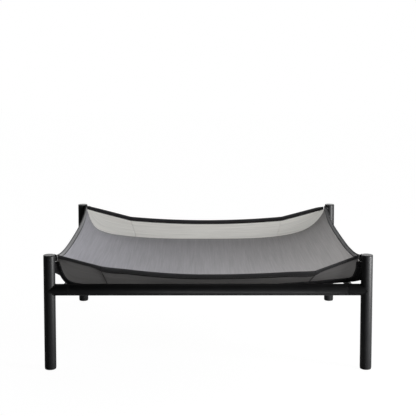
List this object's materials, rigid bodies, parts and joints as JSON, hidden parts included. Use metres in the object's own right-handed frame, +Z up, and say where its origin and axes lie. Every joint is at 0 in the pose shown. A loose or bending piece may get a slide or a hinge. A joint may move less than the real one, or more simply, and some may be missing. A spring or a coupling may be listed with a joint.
{
  "type": "raised dog bed with frame",
  "caption": "Low outdoor dog bed: a round-tube frame on upright posts with a mesh sling hung from the post tops, its front and back edges turned up as shallow walls.",
  "frame": {"origin": "on the floor, at the middle of the bed's footprint", "axes": "+X along the bed's long way, +Y from the front posts to the taller back posts, +Z up"},
  "size_m": [0.902, 0.732, 0.343],
  "materials": {
    "frame_coat": "fine-textured matt powder coat, charcoal black",
    "cap_coat": "fine-textured matt powder coat on the flat welded post caps",
    "glide_plastic": "moulded matt black polyamide",
    "zinc_steel": "bright zinc plate, hidden inside the tubes",
    "black_steel": "black zinc-plated fasteners with a satin sheen",
    "base_mesh": "coated mesh cloth, mid grey above and charcoal below, ribs running front to back",
    "wall_mesh": "coated mesh cloth, pale grey inside and charcoal outside, ribs running left to right",
    "hem_tape": "folded woven tape, charcoal, two rows of stitching",
    "webbing": "flat woven polyester tape, near black"
  },
  "bodies": {
    "root": {"back_hem": "hem_tape", "back_rail": "frame_coat", "back_seam_tape": "webbing", "back_wall_centre": "wall_mesh", "back_wall_left": "wall_mesh", "back_wall_right": "wall_mesh", "corner_tab_back_left": "webbing", "corner_tab_back_right": "webbing", "corner_tab_front_left": "webbing", "corner_tab_front_right": "webbing", "foot_glide_back_left": "glide_plastic", "foot_glide_back_right": "glide_plastic", "foot_glide_front_left": "glide_plastic", "foot_glide_front_right": "glide_plastic", "front_hem": "hem_tape", "front_rail": "frame_coat", "front_seam_tape": "webbing", "front_wall_centre": "wall_mesh", "front_wall_left": "wall_mesh", "front_wall_right": "wall_mesh", "post_back_left": "frame_coat", "post_back_right": "frame_coat", "post_cap_back_left": "cap_coat", "post_cap_back_right": "cap_coat", "post_cap_front_left": "cap_coat", "post_cap_front_right": "cap_coat", "post_front_left": "frame_coat", "post_front_right": "frame_coat", "rail_screws": "black_steel", "rail_spigot_back_left": "zinc_steel", "rail_spigot_back_right": "zinc_steel", "rail_spigot_front_left": "zinc_steel", "rail_spigot_front_right": "zinc_steel", "rail_stub_back_left": "frame_coat", "rail_stub_back_right": "frame_coat", "rail_stub_front_left": "frame_coat", "rail_stub_front_right": "frame_coat", "rivet_nuts": "zinc_steel", "side_hem_left": "base_mesh", "side_hem_right": "base_mesh", "side_rail_left": "frame_coat", "side_rail_right": "frame_coat", "side_rail_screws": "black_steel", "side_spigot_back_left": "zinc_steel", "side_spigot_back_right": "zinc_steel", "side_spigot_front_left": "zinc_steel", "side_spigot_front_right": "zinc_steel", "side_stub_back_left": "frame_coat", "side_stub_back_right": "frame_coat", "side_stub_front_left": "frame_coat", "side_stub_front_right": "frame_coat", "sling_base": "base_mesh", "sling_bolts": "black_steel", "sling_eyelets": "black_steel", "sling_washers": "black_steel"}
  },
  "joints": []
}
